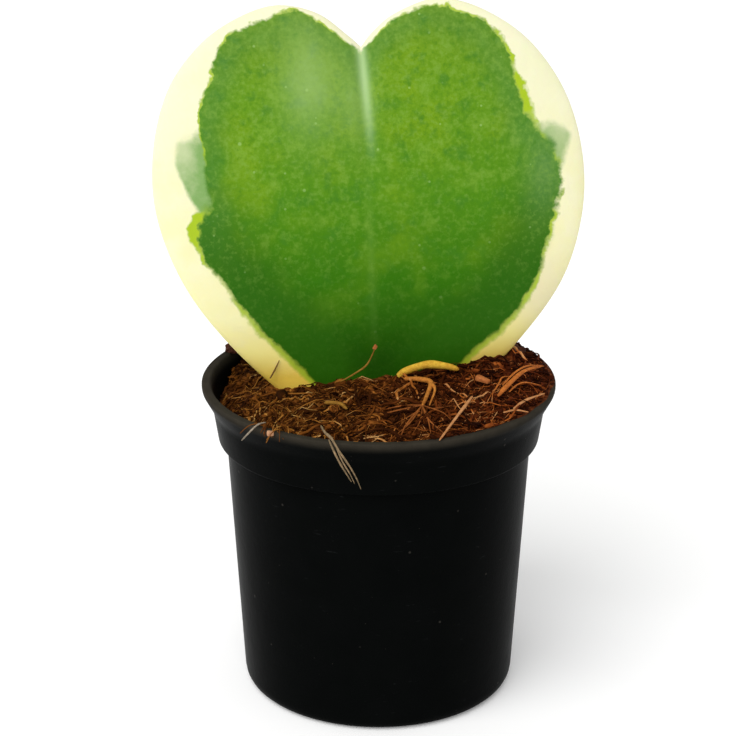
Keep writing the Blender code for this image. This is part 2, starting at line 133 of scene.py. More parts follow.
class Shade:
    """A shader socket that takes part in sums: each sum, product or other step adds a node."""

    def __init__(self, tree, socket=None):
        self.tree = tree
        self.socket = socket

    def node(self, kind, settings=(), inputs=(), output=0):
        """Add a node: its type, then its settings, then the values or links of its sockets."""
        made = self.tree.nodes.new("ShaderNode" + kind)
        for key, value in dict(settings).items():
            if key == "stops":
                ramp = made.color_ramp.elements
                for place, colour in value[1:-1]:
                    ramp.new(place).color = (*colour, 1.0)
                ramp[0].position, ramp[0].color = value[0][0], (*value[0][1], 1.0)
                ramp[-1].position, ramp[-1].color = value[-1][0], (*value[-1][1], 1.0)
            else:
                setattr(made, key, value)
        for key, value in dict(inputs).items():
            if isinstance(value, Shade):
                self.tree.links.new(value.socket, made.inputs[key])
            elif made.inputs[key].type == "RGBA":
                made.inputs[key].default_value = (*value, 1.0)
            else:
                made.inputs[key].default_value = value
        return Shade(self.tree, made.outputs[output])

    def math(self, operation, *values):
        """A Math node on these values."""
        return self.node("Math", {"operation": operation}, enumerate(values))

    def __add__(self, other):
        return self.math("ADD", self, other)

    def __sub__(self, other):
        return self.math("SUBTRACT", self, other)

    def __rsub__(self, other):
        return self.math("SUBTRACT", other, self)

    def __mul__(self, other):
        return self.math("MULTIPLY", self, other)

    def __truediv__(self, other):
        return self.math("DIVIDE", self, other)

    __radd__ = __add__
    __rmul__ = __mul__

    def step(self, low, high):
        """Rise smoothly from 0 where the value is low to 1 where it is high."""
        return self.node(
            "MapRange",
            {"interpolation_type": "SMOOTHSTEP"},
            {"Value": self, "From Min": low, "From Max": high},
        )

    def bell(self, middle, width):
        """1 at the middle, falling to either side as exp(-((value - middle) / width) squared)."""
        away = (self - middle) / width
        return self.math("EXPONENT", away * away * -1.0)

    def blend(self, first, second):
        """Colour running from the first, where the value is 0, to the second, where it is 1."""
        return self.node("Mix", {"data_type": "RGBA"}, {0: self, 6: first, 7: second}, output=2)

    def noise(self, pitch, detail=3.0, roughness=0.55, stretch=(1.0, 1.0, 1.0)):
        """Cloudy noise from 0 to 1 over these coordinates, its lumps one pitch apart."""
        scaled = self.node("Mapping", {}, {"Vector": self, "Scale": [s / pitch for s in stretch]})
        return self.node(
            "TexNoise", {}, {"Vector": scaled, "Scale": 1.0, "Detail": detail, "Roughness": roughness}
        )

    def specks(self, pitch, size, kept):
        """Round specks, one to a cell of the pitch, of a size in cells, kept in that share of cells."""
        scaled = self.node("Mapping", {}, {"Vector": self, "Scale": [1.0 / pitch] * 3})
        near = {"Vector": scaled, "Scale": 1.0}
        distance = self.node("TexVoronoi", {}, near)
        lot = self.node("SeparateColor", {}, {0: self.node("TexVoronoi", {}, near, output=1)})
        return (1.0 - distance.step(size * 0.5, size)) * lot.step(1.0 - kept, 1.0 - kept + 0.05)

    def ramp(self, *stops):
        """A colour ramp over this value, from (place, colour) stops."""
        return self.node("ValToRGB", {"stops": stops}, {0: self})

    def reach(self, material, socket):
        """Feed this value to a socket of the material's shader."""
        self.tree.links.new(self.socket, material.node_tree.nodes["Principled BSDF"].inputs[socket])

    def raise_surface(self, material, depth):
        """Feed this value to the material's normal as a relief of that depth in metres."""
        self.node("Bump", {}, {"Height": self, "Distance": depth}).reach(material, "Normal")


def new_material(name, **constants):
    """A material of one Principled shader with these constant values, and its object coordinates."""
    material = bpy.data.materials.new(name)
    material.use_nodes = True
    shader = material.node_tree.nodes["Principled BSDF"]
    for socket, value in constants.items():
        shader.inputs[socket.replace("_", " ")].default_value = value
    place = Shade(material.node_tree).node("TexCoord", output=3)
    return material, place


def stored(place, name):
    """The value that the mesh keeps under this name."""
    return place.node("Attribute", {"attribute_name": name}, output=2)


def black_plastic():
    """Nearly black, satin, with a fine moulded grain, faint scuffs, a little dust, and a grey-brown band
    round the lip that is partly soil dust and partly a painted highlight.
    """
    material, place = new_material("black_plastic", Specular_IOR_Level=0.007)
    height = place.node("SeparateXYZ", {}, {0: place}, output=2)
    cloud = place.noise(7.0 * MM, detail=4.0)
    grain = place.noise(0.35 * MM, detail=2.0)
    scratched = place.noise(2.2 * MM, detail=5.0, stretch=(1.0, 1.0, 5.0))
    scuffs = scratched.step(0.64, 0.74) * cloud.step(0.5, 0.62)
    dust = place.specks(2.6 * MM, 0.11, 0.22) + place.specks(1.1 * MM, 0.09, 0.1)
    # The lip's grey-brown band: partly soil dust, partly a painted highlight along the lip's edge.
    soil_dust_and_highlight = height.step(DUST_AND_HIGHLIGHT_FROM, DUST_AND_HIGHLIGHT_TO) * (0.45 + place.noise(1.6 * MM, detail=4.0) * 0.5)
    plastic = cloud.blend((0.0012, 0.0015, 0.0014), (0.0024, 0.0028, 0.0027))
    worn = (scuffs * 0.35).blend(plastic, (0.022, 0.024, 0.024))
    dusty = (dust * 0.40).blend(worn, (0.055, 0.050, 0.042))
    (soil_dust_and_highlight * 0.85).blend(dusty, (0.054, 0.046, 0.034)).reach(material, "Base Color")
    (0.30 + cloud * 0.12 + scuffs * 0.15 + soil_dust_and_highlight * 0.3).reach(material, "Roughness")
    (grain * 0.5 + place.noise(3.0 * MM) * 0.9 + dust * 0.8).raise_surface(material, 0.05 * MM)
    return material


def drill_mesh():
    """Upright drills spaced round the drain circle: each a ring of points at its foot and its top."""
    hole = math.tau * (np.arange(DRAIN_HOLES) + 0.5) / DRAIN_HOLES
    turn = math.tau * np.arange(40) / 40
    x = DRAIN_CIRCLE * np.cos(hole)[:, None] + DRAIN_RADIUS * np.cos(turn)
    y = DRAIN_CIRCLE * np.sin(hole)[:, None] + DRAIN_RADIUS * np.sin(turn)
    rings = np.stack(np.broadcast_arrays(x[:, None], y[:, None], DRILL_LEVELS[None, :, None]), axis=-1)
    middle = rings.mean(axis=2)
    return ring_mesh("drill", rings, middle[:, 0], middle[:, 1])


def pot_mesh():
    """The section turned once round Z. Towards the lip its radius sways twice a turn, by a cosine."""
    section = rounded(POT_OUTSIDE + POT_INSIDE) * MM
    turn = math.tau * np.arange(POT_COLUMNS) / POT_COLUMNS
    high = np.clip(section[:, 1] / pot_high.z, 0.0, 1.0) ** 3
    sway = 1.0 + LIP_SWAY * high[:, None] * (np.cos(2 * turn + 0.7) - 1.0) / 2.0
    radius = section[:, :1] * sway
    height = np.broadcast_to(section[:, 1:], radius.shape)
    rings = np.stack([radius * np.cos(turn), radius * np.sin(turn), height], axis=-1)
    middle = rings.mean(axis=1)
    return ring_mesh("pot", rings[None], middle[None, 0], middle[None, -1])


def drilled(mesh, drill):
    """The mesh less the drills' solids, by a Boolean."""
    body = bpy.data.objects.new("moulding", mesh)
    tool = bpy.data.objects.new("drill", drill)
    for made in (body, tool):
        bpy.context.scene.collection.objects.link(made)
    cut = body.modifiers.new("drain", "BOOLEAN")
    cut.object = tool
    result = bpy.data.meshes.new_from_object(body.evaluated_get(bpy.context.evaluated_depsgraph_get()))
    for made in (body, tool):
        bpy.data.objects.remove(made)
    return result


pot = add_piece("nursery_pot", drilled(pot_mesh(), drill_mesh()), black_plastic(), "pot_plastic", "pot")
pot.data.set_sharp_from_angle(angle=math.radians(50.0))

# The soil
# A plug of moist coir and peat that fills the pot and heaps up round the leaf. It is higher to the
# right, where it lies on the lip, and has sunk away from the wall at the left. Its top is all crumbs,
# hollows and matted fibre.
SOIL_LEVEL = 54.3 * MM
SOIL_REACH = 27.2 * MM
# How far the top dips near the wall straight to the left, and how far it is banked up behind that.
LEFT_DIP = 1.9 * MM
BACK_BANK = 1.7 * MM
SOIL_COLUMNS = 360
SOIL_TOP_ROWS = 130
# The wall that the plug lies against, (radius, height), from the middle upwards.
PLUG_SIDE_MM = (
    (0.05, 1.3), (7.2, 1.3), (8.7, 3.1), (18.8, 3.1), (20.0, 1.3), (21.0, 1.4), (21.9, 2.4),
    (24.6, 43.7), (26.0, 45.4), (26.9, 50.2),
)
# How far out the top reaches, by its height at the wall: to the wall below the lip, and a little
# over the lip where it is heaped higher than that.
WALL_HEIGHTS = np.array([45.4, 50.8, 54.6, 55.6, 56.8]) * MM
WALL_RADII = np.array([26.1, 26.95, 28.1, 28.9, 30.0]) * MM
EDGE_ROLL = 1.8 * MM
# The radius past which soil begins to lie on the lip, how soon it does, and where the lip is level.
LIP_FROM, LIP_FADE, LIP_LEVEL = 27.9 * MM, 0.6 * MM, 28.2 * MM


def lattice_noise(x, y, pitch, seed):
    """Random heights from -1 to 1 at the corners of a square lattice, eased from corner to corner."""
    corner = np.random.default_rng(seed).uniform(-1.0, 1.0, (61, 61))
    column, row = np.floor(x / pitch).astype(int), np.floor(y / pitch).astype(int)
    u, v = x / pitch - column, y / pitch - row
    u, v = u * u * (3 - 2 * u), v * v * (3 - 2 * v)
    near = corner[column % 61, row % 61] * (1 - u) + corner[(column + 1) % 61, row % 61] * u
    far = corner[column % 61, (row + 1) % 61] * (1 - u) + corner[(column + 1) % 61, (row + 1) % 61] * u
    return near * (1 - v) + far * v


def soil_level(x, y):
    """The CAD's low heap, a parabola leaning up to the right, with one mound and slow sine lumps. Near
    the wall a bell over the bearing dips it at the left, and another banks it up at the back left."""
    heap = 1.5 * MM * (1.0 - (x * x + y * y) / SOIL_REACH**2)
    lean = 2.2 * MM * x / SOIL_REACH
    mound = 1.2 * MM * np.exp(-((x - 19 * MM) ** 2 + (y - 4 * MM) ** 2) / (2 * (7 * MM) ** 2))
    wave = math.tau / (9 * MM)
    lumps = 0.35 * MM * np.sin(wave * x + 1.3) * np.cos(wave * 0.8 * y)
    outward = np.clip((np.hypot(x, y) - 20.5 * MM) / (7.0 * MM), 0.0, 1.0) ** 1.5
    bearing = np.arctan2(y + 1 * MM, -x)
    spread = np.where(bearing > 0.0, math.radians(24.0), math.radians(42.0))
    leftward = np.exp(-((bearing / spread) ** 2))
    bank = np.exp(-(((bearing - math.radians(40.0)) / math.radians(20.0)) ** 2))
    return SOIL_LEVEL + heap + lean + mound + lumps + (BACK_BANK * bank - LEFT_DIP * leftward) * outward


def soil_edge(x, y):
    """How far out the top reaches towards a point, read off the table by its level at the wall there."""
    bearing = np.arctan2(y, x)
    wall = 27.6 * MM
    return np.interp(soil_level(wall * np.cos(bearing), wall * np.sin(bearing)), WALL_HEIGHTS, WALL_RADII)


def soil_surface(x, y):
    """The level with lattice noise of five sizes, two of them folded into clods and hollows. Over its
    last stretch it rolls down by a power to the wall or onto the lip."""
    clods = 0.50 * lattice_noise(x, y, 4.3 * MM, 1) - 0.70 * np.abs(lattice_noise(x, y, 2.4 * MM, 2))
    crumbs = 0.42 * lattice_noise(x, y, 1.25 * MM, 3) - 0.38 * np.abs(lattice_noise(x, y, 0.8 * MM, 4))
    grit = 0.16 * lattice_noise(x, y, 0.42 * MM, 5)
    height = soil_level(x, y) + (clods + crumbs + grit + 0.3) * MM
    away, edge = np.hypot(x, y), soil_edge(x, y)
    on_lip = np.clip((edge - LIP_FROM) / LIP_FADE, 0.0, 1.0)
    width = EDGE_ROLL * (1.0 + 3.3 * on_lip)
    roll = np.clip((away - edge + width) / width, 0.0, 1.0) ** (2.0 - 0.6 * on_lip)
    rest = on_lip * pot_high.z + (1.0 - on_lip) * (height - 0.9 * MM)
    height = height + roll * np.minimum(rest - height, 0.0)
    return np.where(away > LIP_LEVEL, np.maximum(height, pot_high.z), height)


def soil_mesh():
    """The plug's side and floor turned round Z, then rings over the top from the wall to the middle."""
    turn = math.tau * np.arange(SOIL_COLUMNS) / SOIL_COLUMNS
    side = np.array(PLUG_SIDE_MM) * MM
    side_rings = np.stack(
        [side[:, :1] * np.cos(turn), side[:, :1] * np.sin(turn), side[:, 1:] + 0 * turn], axis=-1
    )
    edge = soil_edge(np.cos(turn), np.sin(turn))
    share = np.linspace(1.0, 0.004, SOIL_TOP_ROWS)[:, None]
    x, y = share * edge * np.cos(turn), share * edge * np.sin(turn)
    top_rings = np.stack([x, y, soil_surface(x, y)], axis=-1)
    top_rings[0, :, 2] -= 0.4 * MM
    rings = np.vstack([side_rings, top_rings])
    middle = rings.mean(axis=1)
    return ring_mesh("soil", rings[None], middle[None, 0], middle[None, -1])


def coir_soil():
    """Near-black in the hollows, partly the peat's own colour and partly painted shade, red-brown coir on
    the crumbs, ochre threads through it.
    """
    material, place = new_material("coir_soil", Specular_IOR_Level=0.03)
    lumps = place.noise(2.2 * MM, detail=6.0, roughness=0.7)
    threads = place.noise(0.9 * MM, detail=5.0, roughness=0.75)
    side = place.node("SeparateXYZ", {}, {0: place}).step(-0.024, 0.022)
    tone = lumps * 0.65 + threads * 0.55
    # The tone that sinks the relief also darkens the colour: the near-black in the hollows is partly painted
    # shade.
    brown = tone.ramp(
        (0.40, (0.006, 0.0012, 0.0005)),
        (0.52, (0.034, 0.0072, 0.0018)),
        (0.62, (0.096, 0.0225, 0.0055)),
        (0.74, (0.22, 0.064, 0.017)),
    )
    ochre = tone.ramp(
        (0.40, (0.008, 0.0022, 0.0006)),
        (0.52, (0.044, 0.0128, 0.0021)),
        (0.62, (0.118, 0.0370, 0.0055)),
        (0.74, (0.25, 0.095, 0.016)),
    )
    side.blend(ochre, brown).reach(material, "Base Color")
    (0.95 - lumps * 0.25).reach(material, "Roughness")
    (lumps * 0.6 + threads).raise_surface(material, 0.35 * MM)
    return material


add_piece("coir_plug", soil_mesh(), coir_soil(), "coir_soil", "soil")

# Coir fibre and crumbs
# The soil's top is matted with husk fibre, from near-black through fox-red to straw, with thicker
# threads, crumbs and flakes of bark over it. They lie as they fell, some on the lip, and a tuft of
# short fibres bends out over the lip at the front left.
FIBRE_REACH = 29.0 * MM
FLAKE_REACH = 27.5 * MM
# The leaf's foot in plan: its ends and half thickness, and its middle line's place and slope.
LEAF_FOOT_ENDS = (-19 * MM, 23 * MM)
LEAF_FOOT_HALF = 2.4 * MM
LEAF_FOOT_MIDDLE = -0.3 * MM
LEAF_SLOPE = math.tan(math.radians(6.0))
TUFT_FIBRES, TUFT_ROWS = 22, 8
# Where the tuft springs from and how far it runs, each with its spread from fibre to fibre.
TUFT_ROOT, TUFT_ROOT_SPREAD = np.array((-17.3, -22.2, 54.9)) * MM, np.array((1.2, 0.7, 0.1))
TUFT_RUN, TUFT_RUN_SPREAD = np.array((-0.2, -2.5, 0.0)) * MM, np.array((1.9, 0.8, 0.1))


def clear_of_leaf(x, y):
    """Move what lies inside the leaf's foot out to its nearer face."""
    off = y - (LEAF_FOOT_MIDDLE + LEAF_SLOPE * x)
    inside = (x > LEAF_FOOT_ENDS[0]) & (x < LEAF_FOOT_ENDS[1]) & (np.abs(off) < LEAF_FOOT_HALF)
    front = np.mean(off, axis=1, keepdims=True) < 0.0
    moved = np.where(front, -LEAF_FOOT_HALF, LEAF_FOOT_HALF)
    return np.where(inside, y + moved - off, y)


def kept_in(x, y):
    """Draw what lies past the soil's edge back to a little inside it, or a little past it on the lip."""
    away, edge = np.hypot(x, y), soil_edge(x, y)
    limit = edge + np.where(edge > 28.0 * MM, 0.4 * MM, -0.3 * MM)
    inward = np.minimum(limit / np.maximum(away, 1e-9), 1.0)
    return x * inward, y * inward


def strewn_paths(draw, count, reach, length, rows, arch):
    """Paths strewn evenly over a disc: running sums of short hops along a heading that drifts and
    sways by a sine, arched up in the middle by a half sine."""
    away, bearing = reach * np.sqrt(draw.random((count, 1))), draw.random((count, 1)) * math.tau
    along = np.linspace(0.0, 1.0, rows)[None]
    drift, sway = draw.normal(0.0, 0.75, (count, 1)), draw.normal(0.0, 0.35, (count, 1))
    heading = draw.random((count, 1)) * math.tau + drift * along
    heading = heading + sway * np.sin(math.tau * (along + draw.random((count, 1))))
    hop = length / (rows - 1)
    middle_x, middle_y = away * np.cos(bearing), away * np.sin(bearing)
    x = middle_x + np.cumsum(np.cos(heading) * hop, axis=1) - np.cos(heading[:, :1]) * length / 2
    y = middle_y + np.cumsum(np.sin(heading) * hop, axis=1) - np.sin(heading[:, :1]) * length / 2
    far = np.hypot(x, y) / reach
    pull = np.where(far > 1.0, (1.0 - 0.35 * np.minimum(far - 1.0, 1.0)) / np.maximum(far, 1e-6), 1.0)
    x, y = kept_in(x * pull, y * pull)
    y = clear_of_leaf(x, y)
    lift = arch * length * np.sin(math.pi * along) ** 1.5
    return np.stack([x, y, soil_surface(x, y) + lift], axis=-1)


def tube_rings(paths, width, thickness, sides, reference=(0.0, 0.0, 1.0)):
    """Ellipses round the points of each path, square to its run: wide to the side, thick over it.

    Returns the rings and the points that close the ends, just over half a thickness beyond them.
    """
    run = np.gradient(paths, axis=1)
    run /= np.linalg.norm(run, axis=2)[:, :, None]
    side = np.cross(run, np.array(reference))
    side /= np.maximum(np.linalg.norm(side, axis=2), 1e-9)[:, :, None]
    over = np.cross(run, side)
    turn = math.tau * np.arange(sides) / sides
    across = side[:, :, None] * (np.cos(turn)[:, None] * width[:, :, None, None])
    up = over[:, :, None] * (np.sin(turn)[:, None] * thickness[:, :, None, None])
    starts = paths[:, 0] - run[:, 0] * thickness[:, :1] * 0.6
    ends = paths[:, -1] + run[:, -1] * thickness[:, -1:] * 0.6
    return paths[:, :, None] + across + up, starts, ends


def strand_mesh(name, seed, count, lengths, radii, sides, rows, arch):
    """Strewn strands as one mesh, thickest in the middle by a half sine, each with a tone of its own.
    Lengths and radii are the least and the most, in millimetres."""
    draw = np.random.default_rng(seed)
    shortest, longest = np.array(lengths) * MM
    thinnest, thickest = np.array(radii) * MM
    length = shortest + (longest - shortest) * draw.random((count, 1)) ** 1.8
    rise = arch * draw.normal(0.35, 0.5, (count, 1)).clip(0.0)
    paths = strewn_paths(draw, count, FIBRE_REACH, length, rows, rise)
    radius = thinnest + (thickest - thinnest) * draw.random((count, 1)) ** 2.5
    along = np.linspace(0.0, 1.0, rows)[None]
    thick = radius * (0.55 + 0.45 * np.sin(math.pi * along))
    paths[:, :, 2] += radius * 0.7
    tone = draw.random((count, 1)) + draw.normal(0.0, 0.04, (count, rows))
    rings, starts, ends = tube_rings(paths, thick * draw.uniform(1.0, 1.5, (count, 1)), thick, sides)
    return ring_mesh(name, rings, starts, ends, {"tone": tone})


def coir_fibre():
    """Husk fibre: mostly dark, ochre at the left and fox-red at the right, a few strands of straw."""
    material, place = new_material("coir_fibre", Specular_IOR_Level=0.03)
    side = place.node("SeparateXYZ", {}, {0: place}).step(-0.020, 0.024)
    clumps = (place.noise(7.0 * MM, detail=2.0) - 0.5) * 0.75
    tone = stored(place, "tone") + (place.noise(1.4 * MM, detail=4.0) - 0.5) * 0.35 + clumps - 0.03
    ochre = tone.ramp(
        (0.0, (0.016, 0.0042, 0.0009)),
        (0.45, (0.068, 0.0195, 0.0028)),
        (0.72, (0.170, 0.0550, 0.0070)),
        (0.90, (0.34, 0.145, 0.024)),
        (1.0, (0.50, 0.29, 0.095)),
    )
    fox = tone.ramp(
        (0.0, (0.012, 0.0022, 0.0006)),
        (0.45, (0.047, 0.0080, 0.0016)),
        (0.72, (0.116, 0.0215, 0.0040)),
        (0.90, (0.37, 0.095, 0.016)),
        (1.0, (0.62, 0.29, 0.110)),
    )
    side.blend(ochre, fox).reach(material, "Base Color")
    (0.78 - tone * 0.25).reach(material, "Roughness")
    place.noise(0.25 * MM, detail=3.0).raise_surface(material, 0.06 * MM)
    return material


def lump_mesh(name, seed, count, reach, sizes, flatness, lift):
    """Small closed lumps: a ball of four rings of seven points, each point moved in or out at random,
    stretched along one heading, flattened, tipped and dropped on the soil. Sizes are in millimetres."""
    draw = np.random.default_rng(seed)
    smallest, largest = np.array(sizes) * MM
    polar = math.pi * np.arange(1, 5) / 5
    turn = math.tau * np.arange(7) / 7
    size = smallest + (largest - smallest) * draw.random((count, 1, 1)) ** 2.2
    bulge = size * draw.uniform(0.62, 1.15, (count, 4, 7))
    ball_x = -np.cos(polar)[:, None] * bulge * draw.uniform(1.0, 1.9, (count, 1, 1))
    ball_y = np.sin(polar)[:, None] * np.cos(turn) * bulge
    ball_z = np.sin(polar)[:, None] * np.sin(turn) * bulge * flatness
    heading, pitch = draw.random((count, 1, 1)) * math.tau, draw.normal(0.0, 0.5, (count, 1, 1))
    tipped_x = ball_x * np.cos(pitch) - ball_z * np.sin(pitch)
    tipped_z = ball_x * np.sin(pitch) + ball_z * np.cos(pitch)
    away, bearing = reach * np.sqrt(draw.random((count, 1))), draw.random((count, 1)) * math.tau
    x, y = kept_in(away * np.cos(bearing), away * np.sin(bearing))
    y = clear_of_leaf(x, y)
    level = soil_surface(x, y)[:, :, None] + lift * size
    rings = np.stack([
        x[:, :, None] + tipped_x * np.cos(heading) - ball_y * np.sin(heading),
        y[:, :, None] + tipped_x * np.sin(heading) + ball_y * np.cos(heading),
        level + tipped_z,
    ], axis=-1)
    middle = rings.mean(axis=(1, 2))
    first, last = rings[:, 0].mean(axis=1), rings[:, -1].mean(axis=1)
    tone = np.repeat(draw.random((count, 1)) * 0.86, 4, axis=1)
    return ring_mesh(name, rings, first * 1.1 - middle * 0.1, last * 1.1 - middle * 0.1, {"tone": tone})


def tuft_mesh():
    """Straight runs at random round the tuft's own, raised by a half sine and bent down by a cube."""
    draw = np.random.default_rng(16)
    along = np.linspace(0.0, 1.0, TUFT_ROWS)[None]
    root = TUFT_ROOT + draw.normal(0.0, 1.0, (TUFT_FIBRES, 1, 3)) * TUFT_ROOT_SPREAD * MM
    run = TUFT_RUN + draw.normal(0.0, 1.0, (TUFT_FIBRES, 1, 3)) * TUFT_RUN_SPREAD * MM
    paths = root + run * along[:, :, None]
    paths[:, :, 2] += (0.9 * np.sin(math.pi * along) - 0.5 * along**3) * MM
    radius = draw.uniform(0.05, 0.13, (TUFT_FIBRES, 1)) * MM * (1.0 - 0.4 * along)
    rings, starts, ends = tube_rings(paths, radius * 1.2, radius, sides=5)
    tone = np.repeat(draw.uniform(0.45, 0.92, (TUFT_FIBRES, 1)), TUFT_ROWS, axis=1)
    return ring_mesh("lip_tuft", rings, starts, ends, {"tone": tone})


STREWN = (
    tuft_mesh(),
    strand_mesh("coir_fibres", 11, 5200, (1.2, 7.5), (0.05, 0.13), sides=3, rows=6, arch=0.12),
    strand_mesh("coir_threads", 12, 560, (3.5, 13.0), (0.10, 0.25), sides=6, rows=12, arch=0.09),
    lump_mesh("soil_crumbs", 13, 2700, FIBRE_REACH, (0.14, 0.62), flatness=0.75, lift=0.35),
    lump_mesh("husk_flakes", 14, 170, FLAKE_REACH, (0.4, 1.1), flatness=0.25, lift=0.45),
)
fibre_finish = coir_fibre()
for strewn in STREWN:
    add_piece(strewn.name, strewn, fibre_finish, "coir_soil", "soil")

# The leaf
# One thick, waxy, heart-shaped leaf with its notch up: green in the middle, cream at the margin,
# where the green ends in ragged teeth with a lime fringe. It is grown as one with its short stalk.
LEAF_FOOT = (0.2 * MM, -0.5 * MM, 40.0 * MM)
LEAF_LENGTH = 78.0 * MM
LEAN_FOOT, LEAN_TOP = math.radians(2.0), math.radians(14.0)
LEAF_ROLL, LEAF_TURN = math.radians(-2.2), math.radians(6.0)
LEAF_MIDDLE = (0.0, 42.0 * MM)
LEAF_HALF_WIDTH = 36.0 * MM
LEAF_HALF_THICKNESS = 2.1 * MM
LEAF_ROWS, LEAF_COLUMNS = 150, 360
# The first column runs to the notch, and the others crowd towards it.
NOTCH_ANGLE, NOTCH_CROWDING = math.radians(91.0), 0.55
# Where the midrib's groove begins, and how much higher it is at full depth.
GROOVE_FROM, GROOVE_RISE = 47.0 * MM, 22.0 * MM
# The height in millimetres at which the leaf's colour ramps end.
RAMP_TOP = 80.0
STALK_RADIUS = 2.1 * MM
STALK_ROWS = 24
# The blade's edge, (across, along), from the notch round by the right.
LEAF_EDGE_MM = (
    (-0.5, 71.0), (1.6, 73.4), (5.5, 76.2), (12.5, 78.2), (20.0, 76.0), (27.8, 70.2), (33.7, 61.0),
    (36.3, 50.0), (35.7, 39.5), (31.9, 29.0), (23.8, 18.8), (13.2, 8.8), (5.0, 2.6), (0.0, 0.0),
    (-4.6, 2.6), (-13.0, 10.2), (-24.2, 22.0), (-31.6, 33.0), (-35.6, 45.0), (-35.6, 56.0),
    (-32.6, 66.0), (-27.0, 73.0), (-20.5, 77.0), (-14.0, 78.6), (-7.5, 76.9), (-2.6, 73.0), (-0.5, 71.0),
)
# How far out from the leaf's middle its green reaches, as a share of the way to the edge, by the
# direction in degrees: nearly to the edge on the lobes and least at the left.
GREEN_SHARE = (
    (0, 0.875), (9, 0.886), (20, 0.912), (25, 0.838), (32, 0.832), (40, 0.855), (48, 0.908), (59, 0.960),
    (75, 0.985), (84, 0.960), (96, 0.955), (107, 0.985), (115, 0.948), (124, 0.960), (133, 0.908),
    (137, 0.872), (144, 0.838), (152, 0.808), (160, 0.847), (167, 0.812), (172, 0.792), (182, 0.840),
    (190, 0.835), (201, 0.808), (214, 0.818), (232, 0.815), (244, 0.825), (262, 0.86), (280, 0.86),
    (307, 0.855), (318, 0.880), (328, 0.890), (345, 0.862), (360, 0.875),
)


def smooth_path(points, count):
    """A Catmull-Rom curve through the points, read at evenly spaced steps."""
    knots = np.array(points, dtype=float)
    padded = np.vstack([2 * knots[0] - knots[1], knots, 2 * knots[-1] - knots[-2]])
    at = np.linspace(0.0, len(knots) - 1.0, count)
    span = np.minimum(at.astype(int), len(knots) - 2)
    t = (at - span)[:, None]
    before, start, end, after = (padded[span + i] for i in range(4))
    return 0.5 * (
        2 * start
        + (end - before) * t
        + (2 * before - 5 * start + 4 * end - after) * t**2
        + (3 * start - before - 3 * end + after) * t**3
    )


def outline_radius(angles):
    """Distance from the middle of the blade to its edge, read off the edge's curve by its bearing."""
    edge = smooth_path(np.array(LEAF_EDGE_MM) * MM, 400) - np.array(LEAF_MIDDLE)
    bearing = np.unwrap(np.arctan2(edge[:, 1], edge[:, 0]))
    order = np.argsort(bearing)
    first = bearing[order][0]
    return np.interp(first + np.mod(angles - first, math.tau), bearing[order], np.hypot(*edge.T)[order])


def blade_to_world(across, along, proud):
    """Bend the flat blade back along an arc, curl its margins by a parabola, then roll and turn it."""
    curvature = (LEAN_TOP - LEAN_FOOT) / LEAF_LENGTH
    lean = LEAN_FOOT + curvature * along
    proud = proud - 1.2 * MM * (across / LEAF_HALF_WIDTH) ** 2
    back = (math.cos(LEAN_FOOT) - np.cos(lean)) / curvature - proud * np.cos(lean)
    up = (np.sin(lean) - math.sin(LEAN_FOOT)) / curvature + proud * np.sin(lean)
    side = across * math.cos(LEAF_ROLL) + up * math.sin(LEAF_ROLL)
    up = up * math.cos(LEAF_ROLL) - across * math.sin(LEAF_ROLL)
    x = LEAF_FOOT[0] + side * math.cos(LEAF_TURN)
    y = LEAF_FOOT[1] + back + side * math.sin(LEAF_TURN)
    return np.stack([x, y, LEAF_FOOT[2] + up], axis=-1)


def blade_mesh():
    """Rings of the heart outline, scaled by the sine of an angle that runs from the back's middle,
    over the margin, to the front's middle. The thickness swells in the middle and rounds off at the
    margin as the root of 1 - share^14; the midrib is a groove in front and a keel behind."""
    polar = math.pi * np.arange(1, LEAF_ROWS + 1)[:, None] / (LEAF_ROWS + 1)
    u = np.arange(LEAF_COLUMNS)[None] / LEAF_COLUMNS
    angle = NOTCH_ANGLE + math.tau * u - NOTCH_CROWDING * np.sin(math.tau * u)
    share = np.sin(polar)
    edge_distance = outline_radius(angle)
    across = LEAF_MIDDLE[0] + share * edge_distance * np.cos(angle)
    along = LEAF_MIDDLE[1] + share * edge_distance * np.sin(angle)
    margin = np.sqrt(1.0 - share**14)
    half = LEAF_HALF_THICKNESS * (0.62 + 0.38 * (1.0 - share**2))
    half = half + 0.10 * MM * lattice_noise(across, along, 7.0 * MM, 21)
    half = half + 0.035 * MM * lattice_noise(across, along, 2.3 * MM, 22)
    upper = np.clip((along - GROOVE_FROM) / GROOVE_RISE, 0.0, 1.0)
    groove = 0.8 * MM * upper * np.exp(-((across / (1.5 * MM)) ** 2))
    keel = 0.8 * MM * (1.0 - 0.8 * along / LEAF_LENGTH) * np.exp(-((across / (2.0 * MM)) ** 2))
    is_front = polar > math.pi / 2.0
    proud = np.where(is_front, half - groove, -half - keel) * margin
    green = np.interp(np.degrees(angle) % 360.0, *np.array(GREEN_SHARE).T)
    depth = (green - share) * edge_distance / MM
    values = {"green_depth": depth, "across": across / MM, "along": along / MM, "front": is_front * 1.0}
    values = {key: np.broadcast_to(value, across.shape)[None] for key, value in values.items()}
    rings = blade_to_world(across, along, proud)
    middle = rings.mean(axis=1)
    return ring_mesh("leaf_blade", rings[None], middle[None, 0], middle[None, -1], values)


